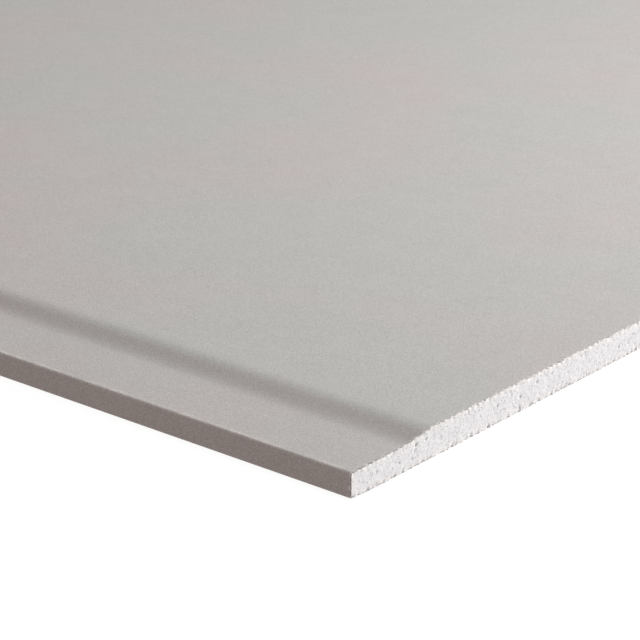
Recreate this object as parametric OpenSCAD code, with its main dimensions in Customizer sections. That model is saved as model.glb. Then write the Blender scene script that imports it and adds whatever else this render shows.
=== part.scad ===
/* [Board] */
// Length of the board, along X
board_length = 2400; // [900:50:3600]
// Width of the board, along Y
board_width = 1200; // [300:10:1250]
// Thickness of the board between its tapered edges, both papers included
board_thickness = 12.5; // [9.5:0.5:25]

/* [Tapered edges] */
// Drop from the face to each long edge, which the joint tape and filler make up
taper_depth = 2; // [0.6:0.1:2.5]
// Width of the nearly flat land that the joint tape lies on
land_width = 28; // [15:0.5:50]
// Climb of the land from the long edge to the foot of the slope
land_rise = 0.2; // [0:0.05:0.5]
// Width of the slope from the land up to the full face
slope_width = 23; // [10:0.5:40]
// Outer radius of the paper where it turns from the face down the long edge
face_arris_radius = 1; // [0.6:0.1:3]
// Outer radius of the paper where it turns from the long edge under the back
back_arris_radius = 0.9; // [0.6:0.1:2]

/* [Paper] */
// Thickness of the face paper
face_paper_thickness = 0.3; // [0.2:0.05:0.5]
// Thickness of the back paper
back_paper_thickness = 0.3; // [0.2:0.05:0.5]
// Reach of the face paper's flap under the back, measured from the long edge
flap_width = 22; // [14:1:40]
// Distance from the long edge to the edge of the back paper, which laps the flap
back_paper_setback = 6; // [3:0.5:12]

/* [Hidden] */

// Straight pieces that stand in for each curve of the section
slope_steps = 12;
arris_steps = 6;

// Climb of the slope alone
slope_rise = taper_depth - land_rise;

// Climb from 0 to 1 that starts and ends level and is steepest halfway
function eased(t) = t * t * t * (10 + t * (6 * t - 15));

// Height of the outer face at the foot of the slope, and at a place on the land or the slope,
// each given by its distance in from the long edge
function land_height(in) = board_thickness - taper_depth + land_rise * in / land_width;
function slope_height(t) = board_thickness - slope_rise * (1 - eased(t));

// Points of an arris from one angle to another, about a centre in from the edge and up
function arris(in, up, radius, from, to) =
    [for (i = [0 : arris_steps])
        let (angle = from + (to - from) * i / arris_steps)
        [in + radius * cos(angle), up + radius * sin(angle)]];

// Half of the face paper's line in the section, as distances in from the long edge and up,
// from the end of the flap, round the long edge, to the top of the slope.
// Depth 0 is the outside of the paper and its thickness is the inside.
function half_line(depth) = concat(
    [[flap_width, back_paper_thickness + depth]],
    arris(back_arris_radius, back_paper_thickness + back_arris_radius, back_arris_radius - depth, 270, 180),
    arris(face_arris_radius, land_height(face_arris_radius) - face_arris_radius,
        face_arris_radius - depth, 180, 90),
    [for (i = [0 : slope_steps])
        let (t = i / slope_steps)
        [land_width + slope_width * t, slope_height(t) - depth]]);

// The whole line, from the flap at one long edge to the flap at the other
function whole_line(depth) =
    let (half = half_line(depth))
    concat(half, [for (i = [len(half) - 1 : -1 : 0]) [board_width - half[i].x, half[i].y]]);

function reversed(points) = [for (i = [len(points) - 1 : -1 : 0]) points[i]];

// Carries a section, drawn as distances in from one long edge and up, along the board
module run() {
    translate([-board_length / 2, -board_width / 2, 0])
        rotate([90, 0, 90])
            linear_extrude(board_length)
                children();
}

// Foamed gypsum, bare at the two cut ends and papered everywhere else
module gypsum_core() {
    color("whitesmoke")
        run()
            polygon(concat(
                [[flap_width, back_paper_thickness]],
                whole_line(face_paper_thickness),
                [[board_width - flap_width, back_paper_thickness]]));
}

// Grey liner over the face, turned down both long edges and folded in under the back
module face_paper() {
    color("darkgray")
        run()
            polygon(concat(whole_line(0), reversed(whole_line(face_paper_thickness))));
}

// Liner over the back, lapped over the two flaps of the face paper
module back_paper() {
    color("tan")
        run()
            translate([back_paper_setback, 0])
                square([board_width - 2 * back_paper_setback, back_paper_thickness]);
}

gypsum_core();
face_paper();
back_paper();
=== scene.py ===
import math
import random

import bpy
import numpy as np
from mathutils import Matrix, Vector, noise


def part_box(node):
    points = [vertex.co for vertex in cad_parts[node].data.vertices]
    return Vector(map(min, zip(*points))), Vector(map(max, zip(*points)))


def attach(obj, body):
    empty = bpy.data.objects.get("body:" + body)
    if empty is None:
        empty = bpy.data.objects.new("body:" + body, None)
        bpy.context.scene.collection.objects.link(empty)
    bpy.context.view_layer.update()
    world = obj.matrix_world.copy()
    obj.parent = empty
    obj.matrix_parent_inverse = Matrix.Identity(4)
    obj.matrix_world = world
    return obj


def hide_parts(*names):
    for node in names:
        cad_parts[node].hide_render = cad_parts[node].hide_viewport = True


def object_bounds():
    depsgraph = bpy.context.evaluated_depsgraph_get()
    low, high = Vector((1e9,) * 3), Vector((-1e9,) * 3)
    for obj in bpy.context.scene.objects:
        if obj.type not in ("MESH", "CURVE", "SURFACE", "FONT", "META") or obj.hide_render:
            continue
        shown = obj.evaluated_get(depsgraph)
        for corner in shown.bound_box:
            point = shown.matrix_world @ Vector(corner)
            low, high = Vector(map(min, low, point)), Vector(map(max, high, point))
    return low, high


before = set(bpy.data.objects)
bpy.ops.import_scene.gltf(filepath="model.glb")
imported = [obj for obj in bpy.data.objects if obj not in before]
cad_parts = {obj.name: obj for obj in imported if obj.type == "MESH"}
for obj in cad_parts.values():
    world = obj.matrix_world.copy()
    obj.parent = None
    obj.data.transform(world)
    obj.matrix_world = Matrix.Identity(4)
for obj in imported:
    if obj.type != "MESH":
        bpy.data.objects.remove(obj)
cad_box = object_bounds()


# Gypsum core
# Plaster slurry, foamed so that it dries light and full of air pores, cast between the two papers.
# It shows only at the two ends, where the running board was cut across: a chalky white face
# with a fine grain, open pores with painted shade in them, and an arris that crumbles along both papers.

MM = 0.001

# Spacing of the grid that each cut end is modelled with
GRAIN = 0.6 * MM
# Length and depth of the shallow waves that the cut leaves, and of the crumbs on them
WAVE = 9 * MM
WAVE_DEPTH = 0.1 * MM
CRUMB = 1.5 * MM
CRUMB_DEPTH = 0.06 * MM
# Chips along the roof and the foot of the end: their depths, their length and how far in they reach
ROOF_CHIP = 0.5 * MM
FOOT_CHIP = 0.9 * MM
CHIP_SPAN = 1.6 * MM
CHIP_REACH = 0.6 * MM
# Layers of unevenness: how fast finer ones fade, how much finer each is, and their number
CRUMB_LAYERS = (0.8, 2, 3)
CHIP_LAYERS = (0.9, 2, 3)
# Shift of the chips' unevenness, by which a little more than half of each arris is chipped
CHIP_BIAS = 0.1
# Air pores at each end: their number, least and greatest radius, how fast larger ones grow rare, and
# their depth as a share of the radius
PORES = 700
SMALL_PORE = 0.33 * MM
LARGE_PORE = 0.7 * MM
PORE_SPREAD = 2.8
PORE_DEPTH = 0.6
# The deepest that all of these together may go
END_RELIEF = 2 * MM
# Depth of the creamy skin where the plaster soaked into the papers
SKIN = 1.6 * MM
RIGHT_SEED = 3
LEFT_SEED = 11

CHALK = (0.84, 0.835, 0.85, 1)
CHALK_SHADE = (0.70, 0.70, 0.715, 1)
SKIN_CREAM = (0.84, 0.81, 0.76, 1)
GRAIN_GREY = (0.56, 0.55, 0.57, 1)
# Painted shade of pinholes too small to model
PINHOLE_SHADE = (0.40, 0.38, 0.39, 1)
# Painted shade that deepens the open pores beyond the shade their hollows cast
PORE_SHADE = (0.42, 0.40, 0.41, 1)
# Turns a pattern against the board's flat faces, because noise is faint in some planes along its axes
TURN = (0.6, 0.5, 0.4)

core_low, core_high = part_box("gypsum_core")
core_size = core_high - core_low
columns = round(core_size.y / GRAIN)
rows = round(core_size.z / GRAIN)


def deselect_all():
    """Clears the selection, because operators act on everything that is selected."""
    if bpy.context.object and bpy.context.object.mode != "OBJECT":
        bpy.ops.object.mode_set(mode="OBJECT")
    bpy.ops.object.select_all(action="DESELECT")


def pick(piece):
    """Makes a piece the only one that operators act on."""
    deselect_all()
    bpy.context.view_layer.objects.active = piece
    piece.select_set(True)


def apply_modifiers(piece):
    """Bakes a piece's modifiers into its mesh."""
    pick(piece)
    for modifier in list(piece.modifiers):
        bpy.ops.object.modifier_apply(modifier=modifier.name)


def push(piece, group_name, weights, axis, distance):
    """Moves vertices along an axis, each by its own weight from 0 to 1 times the distance."""
    group = piece.vertex_groups.new(name=group_name)
    for index in np.nonzero(weights > 0)[0]:
        group.add([int(index)], float(min(weights[index], 1)), "REPLACE")
    shift = piece.modifiers.new(group_name, "DISPLACE")
    shift.vertex_group = group_name
    shift.direction = axis
    shift.mid_level = 0
    shift.strength = distance
    apply_modifiers(piece)
    piece.vertex_groups.clear()


def places(piece):
    """The places of a piece's vertices, one row each."""
    found = np.empty(len(piece.data.vertices) * 3)
    piece.data.vertices.foreach_get("co", found)
    return found.reshape(-1, 3)


def paint(piece, name, values):
    """Stores one number a vertex, for the materials to read."""
    layer = piece.data.attributes.new(name, "FLOAT", "POINT")
    layer.data.foreach_set("value", values.astype(np.float32))


def chipped(c, r, seed):
    """How far the cut end lies back at a point of its grid, in metres, before any pore is open."""
    spot = Vector((c * GRAIN, r * GRAIN, seed))
    wave = noise.noise(spot / WAVE) * 0.5 + 0.5
    crumb = noise.fractal(spot / CRUMB, *CRUMB_LAYERS) * 0.5 + 0.5
    depth = WAVE_DEPTH * wave + CRUMB_DEPTH * max(crumb, 0)
    for from_edge, chip in ((rows - r, ROOF_CHIP), (r, FOOT_CHIP)):
        along = Vector((c * GRAIN / CHIP_SPAN, seed + chip / MM, 0))
        loss = noise.fractal(along, *CHIP_LAYERS) + CHIP_BIAS
        depth += chip * max(loss, 0) * math.exp(-from_edge * GRAIN / CHIP_REACH)
    return depth


def open_pores(seed):
    """Round air pores, as how deep each point of the end's grid lies in one, in metres."""
    chance = random.Random(seed)
    pores = np.zeros((columns + 1, rows + 1))
    for _ in range(PORES):
        radius = SMALL_PORE * chance.paretovariate(PORE_SPREAD)
        middle = (chance.uniform(0, columns), chance.uniform(1, rows - 1))
        if radius > LARGE_PORE:
            continue
        reach = int(radius / GRAIN) + 1
        for c in range(int(middle[0]) - reach, int(middle[0]) + reach + 2):
            for r in range(int(middle[1]) - reach, int(middle[1]) + reach + 2):
                if 0 <= c <= columns and 0 < r < rows:
                    away = math.hypot(c - middle[0], r - middle[1]) * GRAIN / radius
                    pores[c, r] = max(pores[c, r], radius * math.sqrt(max(1 - away * away, 0)))
    return pores


# One end is laid out as a flat grid and drawn along the board to the other
deselect_all()
bpy.ops.mesh.primitive_grid_add(
    x_subdivisions=columns,
    y_subdivisions=rows,
    size=1,
    location=(core_high.x, 0, (core_low.z + core_high.z) / 2),
    rotation=(math.pi / 2, 0, math.pi / 2),
)
core = bpy.context.object
core.name = "gypsum_core_board"
core.scale = (core_size.y, core_size.z, 1)
bpy.ops.object.transform_apply(location=True, rotation=True, scale=True)
bpy.ops.object.mode_set(mode="EDIT")
bpy.ops.mesh.select_all(action="SELECT")
bpy.ops.mesh.extrude_region_move(TRANSFORM_OT_translate={"value": (-core_size.x, 0, 0)})
bpy.ops.mesh.select_all(action="SELECT")
bpy.ops.mesh.normals_make_consistent(inside=False)
bpy.ops.object.mode_set(mode="OBJECT")

at = places(core)
column = np.rint((at[:, 1] - core_low.y) / core_size.y * columns).astype(int)
row = np.rint((at[:, 2] - core_low.z) / core_size.z * rows).astype(int)
right_end = at[:, 0] > 0
relief = np.zeros(len(at))
pore = np.zeros(len(at))
for seed, side in ((RIGHT_SEED, right_end), (LEFT_SEED, ~right_end)):
    pores = open_pores(seed)
    broken = np.array([[chipped(c, r, seed) for r in range(rows + 1)] for c in range(columns + 1)])
    broken += PORE_DEPTH * pores
    relief[side] = broken[column[side], row[side]] / END_RELIEF
    pore[side] = pores[column[side], row[side]] / LARGE_PORE
paint(core, "pore", pore)

# The section narrows to the frame's own at each column: its roof follows the tapered edges, and its
# foot lifts over the folded flaps of the face paper.
corners = {(round(abs(v.co.y), 6), round(v.co.z, 6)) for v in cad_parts["gypsum_core"].data.vertices}
half_way = core_low.z + core_size.z / 2
roof = np.array(sorted(p for p in corners if p[1] > half_way))
foot = np.array(sorted(p for p in corners if p[1] < half_way))
aside = np.abs(at[:, 1])
drop = core_high.z - np.interp(aside, roof[:, 0], roof[:, 1])
lift = np.interp(aside, foot[:, 0], foot[:, 1]) - core_low.z
up = (at[:, 2] - core_low.z) / core_size.z
inset = np.minimum(up, 1 - up) * (core_size.z - drop - lift)
inset = np.minimum(inset, core_size.y / 2 - aside)
paint(core, "skin", np.exp(-inset / SKIN))
push(core, "roof", up * drop / drop.max(), "Z", -drop.max())
push(core, "foot", (1 - up) * lift / lift.max(), "Z", lift.max())
push(core, "right_end", np.where(right_end, relief, 0), "X", -END_RELIEF)
push(core, "left_end", np.where(right_end, 0, relief), "X", END_RELIEF)
bpy.ops.object.shade_smooth_by_angle(angle=math.radians(50))


def new_material(name):
    """A new material, with its node tree, its one Principled shader and its object coordinates."""
    material = bpy.data.materials.new(name)
    material.use_nodes = True
    nodes = material.node_tree.nodes
    shader = nodes["Principled BSDF"]
    where = nodes.new("ShaderNodeTexCoord").outputs["Object"]
    return material, material.node_tree, shader, where


def add(tree, kind, inputs=None, **settings):
    """Adds a node, sets its properties, and fills its inputs with values or links."""
    node = tree.nodes.new(kind)
    for name, value in settings.items():
        setattr(node, name, value)
    for name, value in (inputs or {}).items():
        if isinstance(value, bpy.types.NodeSocket):
            tree.links.new(value, node.inputs[name])
        else:
            node.inputs[name].default_value = value
    return node


def mix(tree, share, first, second):
    """Mixes two colours, from all the first at a share of 0 to all the second at 1."""
    return add(tree, "ShaderNodeMix", {0: share, 6: first, 7: second}, data_type="RGBA").outputs[2]


def sum_of(tree, operation, *values):
    """The result of a sum, such as ADD or MULTIPLY, on values or links."""
    return add(tree, "ShaderNodeMath", dict(enumerate(values)), operation=operation).outputs[0]


def ramp(tree, value, low, high, to_low=0.0, to_high=1.0):
    """A smooth step of a value between two limits."""
    limits = {"Value": value, "From Min": low, "From Max": high, "To Min": to_low, "To Max": to_high}
    return add(tree, "ShaderNodeMapRange", limits, interpolation_type="SMOOTHSTEP").outputs["Result"]


def noise_at(tree, place, waves, detail):
    """Noise from 0 to 1, with so many waves a metre and so many finer layers."""
    inputs = {"Vector": place, "Scale": waves, "Detail": detail}
    return add(tree, "ShaderNodeTexNoise", inputs).outputs["Fac"]


def spots_at(tree, place, spots, full, edge):
    """Round spots, so many a metre, that fade out between two distances from their middles."""
    cells = add(tree, "ShaderNodeTexVoronoi", {"Vector": place, "Scale": spots}).outputs["Distance"]
    return ramp(tree, cells, full, edge, 1, 0)


def finish_dull(tree, shader, tone, height, strength, depth, gloss):
    """Gives a shader the colour, the faint gloss and the bumps, so many metres deep, of a dull surface."""
    tree.links.new(tone, shader.inputs["Base Color"])
    shader.inputs["Roughness"].default_value = 0.95
    shader.inputs["Specular IOR Level"].default_value = gloss
    bump = add(tree, "ShaderNodeBump", {"Height": height, "Strength": strength, "Distance": depth})
    tree.links.new(bump.outputs["Normal"], shader.inputs["Normal"])


gypsum, tree, shader, where = new_material("gypsum")
where = add(tree, "ShaderNodeMapping", {"Vector": where, "Rotation": TURN}).outputs["Vector"]
mottle = noise_at(tree, where, waves=800, detail=3)
grain = noise_at(tree, where, waves=1900, detail=2)
sparse = noise_at(tree, where, waves=310, detail=1)
# Pinholes too small to model are drawn as spots of painted shade, where the sparse noise lets them
pinhole_shade = spots_at(tree, where, spots=900, full=0.16, edge=0.32)
pinhole_shade = sum_of(tree, "MULTIPLY", pinhole_shade, ramp(tree, sparse, 0.44, 0.56))
pit_shade = add(tree, "ShaderNodeAttribute", attribute_name="pore").outputs["Fac"]
skin = add(tree, "ShaderNodeAttribute", attribute_name="skin").outputs["Fac"]
skin = sum_of(tree, "MULTIPLY", skin, ramp(tree, mottle, 0.35, 0.6))
tone = mix(tree, ramp(tree, mottle, 0.3, 0.7), CHALK_SHADE, CHALK)
tone = mix(tree, skin, tone, SKIN_CREAM)
tone = mix(tree, ramp(tree, grain, 0.3, 0.5, 0.6, 0), tone, GRAIN_GREY)
tone = mix(tree, pinhole_shade, tone, PINHOLE_SHADE)
# The open pores are darkened by painted shade, more where they are deeper
tone = mix(tree, ramp(tree, pit_shade, 0.1, 0.7, 0, 0.75), tone, PORE_SHADE)
finish_dull(tree, shader, tone, grain, strength=0.3, depth=0.15 * MM, gloss=0.1)
core.data.materials.clear()
core.data.materials.append(gypsum)
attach(core, "root")
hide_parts("gypsum_core")


# Face paper
# Grey multi-ply liner made from waste paper. It covers the face, turns down both long edges
# and folds in under the back. The cut tears it at the ends, so its edge there is ragged: dark where the
# inner plies show and where shade of the gaps under the tear is painted, pale where gypsum dust clings.

# Band at each end that spilt dust lies on, the greatest depth of a tear there, and its usual length
TORN_BAND = 3 * MM
TORN_DEPTH = 0.9 * MM
TEAR_SPAN = 1.8 * MM
# Spacing of the points that the torn edge is modelled with
TORN_STEP = 0.6 * MM
# Layers of unevenness of the tear, and its mean and swing as shares of the greatest depth
TEAR_LAYERS = (0.7, 2.2, 4)
TEAR_MEAN = 0.32
TEAR_SWING = 0.6
FACE_SEED = 21
# Places that differ by less than this are the same, and faces that turn by less, in radians, are one
SAME = 0.001 * MM
FLAT = 0.0005
# Width beside the long edge that holds its arris, and the distances from the edge where the painted
# highlight along the arris starts and is full
ARRIS = 2 * MM
HIGHLIGHT_FROM = 3.5 * MM
HIGHLIGHT_FULL = 1.2 * MM
# Depths below the arris at which the painted shade of the long edge, darker and browner, starts and is full
EDGE_FROM = 0.05 * MM
EDGE_FULL = 0.3 * MM
# Distances from the long edge, and heights above the back, at which dust starts to cling and is full
DUST_FROM = 1 * MM
DUST_FULL = 60 * MM
FOOT_DUST_FROM = 3 * MM
FOOT_DUST_FULL = 1 * MM
# Depths below the face between which the slope of the tapered edge gets its painted warm shade, down to its
# land
SLOPE_FROM = 0.1 * MM
SLOPE_FULL = 0.7 * MM
LAND_FROM = 1.2 * MM
LAND_FULL = 1.8 * MM

FACE_GREY = (0.473, 0.473, 0.459, 1)
FACE_CLOUD = (0.495, 0.459, 0.452, 1)
FACE_FLECK = (0.33, 0.31, 0.29, 1)
# Painted warm shade on the slope of the tapered edge
SLOPE_SHADE_GREY = (0.488, 0.456, 0.448, 1)
# Painted highlight along the arris of the long edge
ARRIS_HIGHLIGHT_GREY = (0.57, 0.54, 0.51, 1)
# Painted shade of the long edge, darker and browner than the face
LONG_EDGE_SHADE_GREY = (0.436, 0.388, 0.367, 1)
# Dark inner plies of the torn edge, with painted shade of the gaps under the tear
TORN_PLY_AND_SHADE = (0.22, 0.19, 0.18, 1)
DUSTY_PLY = (0.74, 0.72, 0.71, 1)
SPILT_DUST = (0.80, 0.78, 0.76, 1)
GLUED_SIDE = (0.78, 0.76, 0.74, 1)

paper_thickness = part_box("face_paper")[1].z - core_high.z
arris_top = max(z for y, z in corners if y > core_high.y - ARRIS) + paper_thickness


def outer_skin(node, name, thickness):
    """A copy of a paper's CAD node with only its outer faces: no inner side, cut end or slit edge."""
    piece = bpy.data.objects.new(name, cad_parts[node].data.copy())
    bpy.context.scene.collection.objects.link(piece)
    pick(piece)
    bpy.ops.object.mode_set(mode="EDIT")
    bpy.ops.mesh.select_all(action="SELECT")
    bpy.ops.mesh.remove_doubles(threshold=SAME)
    bpy.ops.mesh.select_mode(type="FACE")
    bpy.ops.mesh.select_all(action="DESELECT")
    bpy.ops.object.mode_set(mode="OBJECT")
    middle = Vector((0, 0, cad_box[1].z / 2))
    for face in piece.data.polygons:
        inner = face.normal.dot(face.center - middle) < 0
        end = abs(face.normal.x) > 0.5
        heights = [piece.data.vertices[i].co.z for i in face.vertices]
        upright = abs(face.normal.y) > 0.999
        slit = upright and max(heights) - min(heights) < thickness + SAME
        face.select = inner or end or slit
    bpy.ops.object.mode_set(mode="EDIT")
    bpy.ops.mesh.delete(type="FACE")
    bpy.ops.mesh.select_all(action="SELECT")
    bpy.ops.mesh.dissolve_limited(angle_limit=FLAT)
    return piece


def divide_ends(piece):
    """Cuts a band off at each end and divides the edges across the board finely enough to be torn."""
    for x in (TORN_BAND - cad_box[1].x, cad_box[1].x - TORN_BAND):
        bpy.ops.mesh.select_all(action="SELECT")
        bpy.ops.mesh.bisect(plane_co=(x, 0, 0), plane_no=(1, 0, 0))
    bpy.ops.mesh.select_mode(type="EDGE")
    too_long = True
    while too_long:
        bpy.ops.mesh.select_all(action="DESELECT")
        bpy.ops.object.mode_set(mode="OBJECT")
        points = piece.data.vertices
        too_long = False
        for edge in piece.data.edges:
            a, b = (points[i].co for i in edge.vertices)
            if abs(a.x - b.x) < SAME and (a - b).length > TORN_STEP:
                edge.select = True
                too_long = True
        bpy.ops.object.mode_set(mode="EDIT")
        if too_long:
            bpy.ops.mesh.subdivide(number_cuts=1)
    bpy.ops.object.mode_set(mode="OBJECT")


def torn_sheet(node, name, thickness, seed):
    """A paper: the outer skin of its CAD node, torn back raggedly at both ends, with its thickness."""
    piece = outer_skin(node, name, thickness)
    divide_ends(piece)
    at = places(piece)
    ends = np.abs(at[:, 0]) > cad_box[1].x - SAME
    torn = np.zeros(len(at))
    for index in np.nonzero(ends)[0]:
        x, y, z = at[index]
        spot = Vector((y / TEAR_SPAN, z / TEAR_SPAN, seed + math.copysign(5, x)))
        torn[index] = max(TEAR_MEAN + TEAR_SWING * noise.fractal(spot, *TEAR_LAYERS), 0)
    push(piece, "right_end", np.where(at[:, 0] > 0, torn, 0), "X", -TORN_DEPTH)
    push(piece, "left_end", np.where(at[:, 0] > 0, 0, torn), "X", TORN_DEPTH)
    paint(piece, "torn", ends.astype(float))
    solid = piece.modifiers.new("thickness", "SOLIDIFY")
    solid.thickness = thickness
    solid.offset = -1
    solid.use_even_offset = True
    inside = piece.vertex_groups.new(name="inside")
    solid.shell_vertex_group = inside.name
    apply_modifiers(piece)
    inner = np.array([float(len(v.groups) > 0) for v in piece.data.vertices])
    piece.vertex_groups.clear()
    paint(piece, "inside", inner)
    bpy.ops.object.shade_smooth_by_angle(angle=math.radians(35))
    piece.data.materials.clear()
    return piece


def paper_group():
    """The look that both papers share: mottle, machine streaks, flecks, fibre relief, and torn ends partly
    dark with painted shade.
    """
    group = bpy.data.node_groups.new("liner_paper", "ShaderNodeTree")
    sockets = (
        ("Place", "INPUT", "NodeSocketVector"),
        ("Colour", "INPUT", "NodeSocketColor"),
        ("Fleck colour", "INPUT", "NodeSocketColor"),
        ("Flecks", "INPUT", "NodeSocketFloat"),
        ("Mottle", "INPUT", "NodeSocketFloat"),
        ("Dusty", "INPUT", "NodeSocketFloat"),
        ("Colour", "OUTPUT", "NodeSocketColor"),
        ("Height", "OUTPUT", "NodeSocketFloat"),
    )
    for name, side, kind in sockets:
        group.interface.new_socket(name=name, in_out=side, socket_type=kind)
    given = group.nodes.new("NodeGroupInput").outputs
    result = group.nodes.new("NodeGroupOutput").inputs

    # Machine streaks run along the board, so their pattern is drawn out that way
    place = given["Place"]
    along = add(group, "ShaderNodeMapping", {"Vector": place, "Scale": (0.06, 1, 1)}).outputs["Vector"]
    place = add(group, "ShaderNodeMapping", {"Vector": place, "Rotation": TURN}).outputs["Vector"]
    fibre = noise_at(group, place, waves=800, detail=2)
    fibre = sum_of(group, "ADD", fibre, noise_at(group, place, waves=2000, detail=1))

    # Each pattern varies about a half, so half of all their weights is taken off again
    patterns = (
        (noise_at(group, place, waves=55, detail=3), 1),
        (noise_at(group, place, waves=260, detail=3), 1),
        (noise_at(group, along, waves=420, detail=2), 0.5),
        (noise_at(group, place, waves=950, detail=3), 3),
        (noise_at(group, place, waves=2400, detail=1), 15),
    )
    shade = -sum(weight for pattern, weight in patterns) / 2
    for pattern, weight in patterns:
        shade = sum_of(group, "MULTIPLY_ADD", pattern, weight, shade)
    shade = sum_of(group, "MULTIPLY_ADD", shade, given["Mottle"], 1)
    tone = add(group, "ShaderNodeVectorMath", {0: given["Colour"], "Scale": shade}, operation="SCALE")
    fleck = spots_at(group, place, spots=330, full=0.06, edge=0.16)
    fleck = sum_of(group, "MULTIPLY", fleck, given["Flecks"])
    tone = mix(group, fleck, tone.outputs[0], given["Fleck colour"])

    tear = add(group, "ShaderNodeAttribute", attribute_name="torn").outputs["Fac"]
    crumbs = ramp(group, noise_at(group, place, waves=520, detail=3), 0.54, 0.62)
    spill = sum_of(group, "MULTIPLY", ramp(group, tear, 0.55, 1), crumbs)
    tone = mix(group, spill, tone, SPILT_DUST)
    # The torn edge is dark inner plies with painted shade of the gaps under the tear, except where pale
    # dust clings
    dust = ramp(group, noise_at(group, place, waves=330, detail=3), 0.32, 0.46)
    edge = mix(group, sum_of(group, "MULTIPLY", dust, given["Dusty"]), TORN_PLY_AND_SHADE, DUSTY_PLY)
    tone = mix(group, ramp(group, tear, 0.96, 0.995), tone, edge)
    inside = add(group, "ShaderNodeAttribute", attribute_name="inside").outputs["Fac"]
    tone = mix(group, ramp(group, inside, 0.5, 1), tone, GLUED_SIDE)
    group.links.new(tone, result["Colour"])
    group.links.new(fibre, result["Height"])
    return group


def cloud_group():
    """Broad soft patches of a second colour, as pulp of uneven make leaves them."""
    group = bpy.data.node_groups.new("pulp_clouds", "ShaderNodeTree")
    group.interface.new_socket(name="Place", in_out="INPUT", socket_type="NodeSocketVector")
    group.interface.new_socket(name="Colour", in_out="INPUT", socket_type="NodeSocketColor")
    group.interface.new_socket(name="Patch colour", in_out="INPUT", socket_type="NodeSocketColor")
    group.interface.new_socket(name="Colour", in_out="OUTPUT", socket_type="NodeSocketColor")
    given = group.nodes.new("NodeGroupInput").outputs
    result = group.nodes.new("NodeGroupOutput").inputs
    patch = ramp(group, noise_at(group, given["Place"], waves=6, detail=3), 0.42, 0.68)
    group.links.new(mix(group, patch, given["Colour"], given["Patch colour"]), result["Colour"])
    return group


liner_paper = paper_group()
pulp_clouds = cloud_group()

face_paper = torn_sheet("face_paper", "face_paper_liner", paper_thickness, FACE_SEED)
face_liner, tree, shader, where = new_material("face_liner")
axes = add(tree, "ShaderNodeSeparateXYZ", {"Vector": where}).outputs
across = sum_of(tree, "ABSOLUTE", axes["Y"])
long_edge = cad_box[1].y
face_top = cad_box[1].z
clouds = {"Place": where, "Colour": FACE_GREY, "Patch colour": FACE_CLOUD}
tone = add(tree, "ShaderNodeGroup", clouds, node_tree=pulp_clouds).outputs["Colour"]

# The slope of the tapered edge gets a painted warm tint of shade
slope_shade = sum_of(
    tree,
    "MULTIPLY",
    ramp(tree, axes["Z"], face_top - SLOPE_FROM, face_top - SLOPE_FULL),
    ramp(tree, axes["Z"], face_top - LAND_FULL, face_top - LAND_FROM, 0.3, 1),
)
tone = mix(tree, sum_of(tree, "MULTIPLY", slope_shade, 0.8), tone, SLOPE_SHADE_GREY)

# The turn down the long edge gets a painted highlight, here more and there less
arris = ramp(tree, across, long_edge - HIGHLIGHT_FROM, long_edge - HIGHLIGHT_FULL)
highlight_patches = ramp(tree, noise_at(tree, where, waves=140, detail=2), 0.35, 0.65, 0.2, 1)
tone = mix(tree, sum_of(tree, "MULTIPLY", arris, highlight_patches), tone, ARRIS_HIGHLIGHT_GREY)
# The long edge below the arris gets painted shade, darker and browner
side = ramp(tree, axes["Z"], arris_top - EDGE_FROM, arris_top - EDGE_FULL)
tone = mix(tree, side, tone, LONG_EDGE_SHADE_GREY)

# Dust clings least to the torn end near the long edge, except along its foot
dusty = ramp(tree, across, long_edge - DUST_FROM, long_edge - DUST_FULL, 0.1, 1)
dusty = sum_of(tree, "MAXIMUM", dusty, ramp(tree, axes["Z"], FOOT_DUST_FROM, FOOT_DUST_FULL))
face_look = {
    "Place": where,
    "Colour": tone,
    "Fleck colour": FACE_FLECK,
    "Flecks": 0.1,
    "Mottle": 0.068,
    "Dusty": dusty,
}
paper = add(tree, "ShaderNodeGroup", face_look, node_tree=liner_paper).outputs
finish_dull(tree, shader, paper["Colour"], paper["Height"], strength=1.0, depth=0.035 * MM, gloss=0.12)
face_paper.data.materials.append(face_liner)
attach(face_paper, "root")
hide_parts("face_paper")


# Back paper
# Browner liner made from mixed waste, with darker flecks. It covers the back and laps over the
# flaps of the face paper, which print through it as two faint lines along the board.

# Reach of the face paper's flaps, and width of the line that each prints
FLAP = 22 * MM
FLAP_LINE = 1.5 * MM
BACK_SEED = 47

BACK_BROWN = (0.405, 0.35, 0.285, 1)
BACK_CLOUD = (0.378, 0.324, 0.262, 1)
BACK_FLECK = (0.17, 0.13, 0.10, 1)
FLAP_BROWN = (0.28, 0.24, 0.195, 1)

back_low, back_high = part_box("back_paper")
back_paper = torn_sheet("back_paper", "back_paper_liner", back_high.z - back_low.z, BACK_SEED)
back_liner, tree, shader, where = new_material("back_liner")
clouds = {"Place": where, "Colour": BACK_BROWN, "Patch colour": BACK_CLOUD}
tone = add(tree, "ShaderNodeGroup", clouds, node_tree=pulp_clouds).outputs["Colour"]
axes = add(tree, "ShaderNodeSeparateXYZ", {"Vector": where}).outputs
across = sum_of(tree, "ABSOLUTE", axes["Y"])
from_flap = sum_of(tree, "ABSOLUTE", sum_of(tree, "SUBTRACT", across, long_edge - FLAP))
tone = mix(tree, ramp(tree, from_flap, 0, FLAP_LINE, 0.5, 0), tone, FLAP_BROWN)
back_look = {
    "Place": where,
    "Colour": tone,
    "Fleck colour": BACK_FLECK,
    "Flecks": 0.5,
    "Mottle": 0.1,
    "Dusty": 0.68,
}
paper = add(tree, "ShaderNodeGroup", back_look, node_tree=liner_paper).outputs
finish_dull(tree, shader, paper["Colour"], paper["Height"], strength=0.8, depth=0.05 * MM, gloss=0.1)
back_paper.data.materials.append(back_liner)
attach(back_paper, "root")
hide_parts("back_paper")


# Studio
# A pale floor without a visible end, a soft key light low behind the board, a weak fill from its
# left, a wash of light over its right end, and the camera close over the front right corner.

FLOOR_RADIUS = 150
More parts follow.
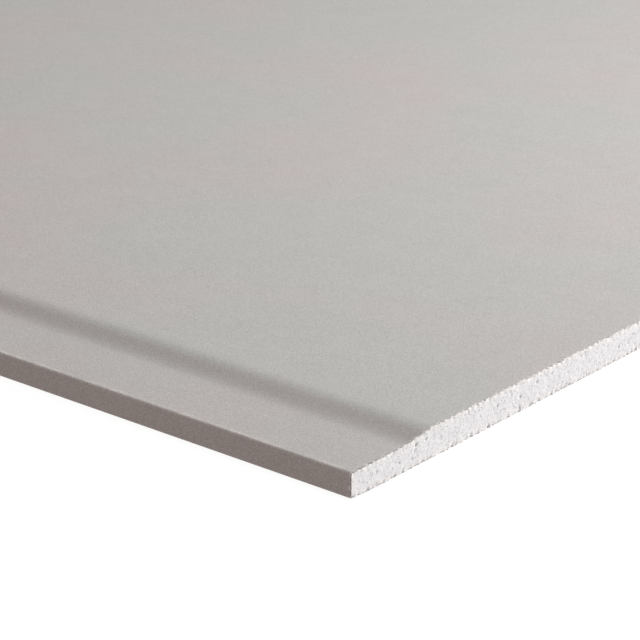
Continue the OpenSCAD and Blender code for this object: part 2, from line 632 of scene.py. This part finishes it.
# The floor lies just clear of the back paper, so that neither surface shows through the other
FLOOR_GAP = 0.1 * MM
FLOOR_GREY = (0.15, 0.15, 0.15, 1)
# The board is lit a little warmer and much weaker than the white that the camera sees around it
WHITE = (1, 1, 1, 1)
AMBIENT = (1.045, 0.985, 0.975, 1)
FLOOR_GLOW = (0.46, 0.92)
SKY_GLOW = (0.37, 1)
# The wash's place and aim, and the camera's place, all from the front right corner
WASH_PLACE = (1.53, 0.6, 3)
WASH_AIM = (0.37, 0.74, 0)
WASH_POWER = 330
WASH_CONE = 33.3
CAMERA_PLACE = (0.506, -0.6291, 0.3814)
CAMERA_HEADING = 129.60
CAMERA_DIP = 21.16
FOCAL_LENGTH = 140.6

corner = Vector((cad_box[1].x, cad_box[0].y, 0))


def place_in_scene(name, data):
    """Puts a light or the camera in the scene."""
    thing = bpy.data.objects.new(name, data)
    bpy.context.scene.collection.objects.link(thing)
    return thing


def turn_to(light, source):
    """Turns a light so that it shines from a direction."""
    light.rotation_euler = source.to_track_quat("Z", "Y").to_euler()


def sun(name, power, spread, source):
    """A wide soft light from far away, with its spread in degrees."""
    light = bpy.data.lights.new(name, "SUN")
    light.energy = power
    light.angle = math.radians(spread)
    turn_to(place_in_scene(name, light), Vector(source))


def glow(tree, colour, strength, levels):
    """Sets a glow to its ambient level and colour, except where the camera sees it directly, in white."""
    seen = add(tree, "ShaderNodeLightPath").outputs["Is Camera Ray"]
    tree.links.new(mix(tree, seen, AMBIENT, WHITE), colour)
    tree.links.new(ramp(tree, seen, 0, 1, *levels), strength)


deselect_all()
bpy.ops.mesh.primitive_circle_add(
    vertices=64,
    radius=FLOOR_RADIUS,
    fill_type="NGON",
    location=(0, 0, -FLOOR_GAP),
)
floor = bpy.context.object
floor.name = "floor"
floor_white = bpy.data.materials.new("floor")
floor_white.use_nodes = True
shader = floor_white.node_tree.nodes["Principled BSDF"]
shader.inputs["Base Color"].default_value = FLOOR_GREY
shader.inputs["Roughness"].default_value = 1
shader.inputs["Specular IOR Level"].default_value = 0
glow(floor_white.node_tree, shader.inputs["Emission Color"], shader.inputs["Emission Strength"], FLOOR_GLOW)
floor.data.materials.append(floor_white)

sun("key", power=7.1, spread=10, source=(0.88, 4.2, 0.66))
sun("fill", power=1.2, spread=20, source=(-1, 0, 0.2))
wash_light = bpy.data.lights.new("wash", "SPOT")
wash_light.energy = WASH_POWER
wash_light.spot_size = math.radians(WASH_CONE)
wash_light.spot_blend = 1
wash_light.shadow_soft_size = 0.4
wash = place_in_scene("wash", wash_light)
wash.location = corner + Vector(WASH_PLACE)
turn_to(wash, Vector(WASH_PLACE) - Vector(WASH_AIM))

world = bpy.data.worlds.new("studio")
world.use_nodes = True
sky = world.node_tree.nodes["Background"]
glow(world.node_tree, sky.inputs["Color"], sky.inputs["Strength"], SKY_GLOW)
bpy.context.scene.world = world
bpy.context.scene.view_settings.view_transform = "Standard"

lens = bpy.data.cameras.new("camera")
lens.sensor_width = 36
lens.lens = FOCAL_LENGTH
lens.clip_start = 0.05
lens.clip_end = 400
camera = place_in_scene("camera", lens)
camera.location = corner + Vector(CAMERA_PLACE)
camera.rotation_euler = (math.radians(90 - CAMERA_DIP), 0, math.radians(CAMERA_HEADING - 90))
bpy.context.scene.camera = camera
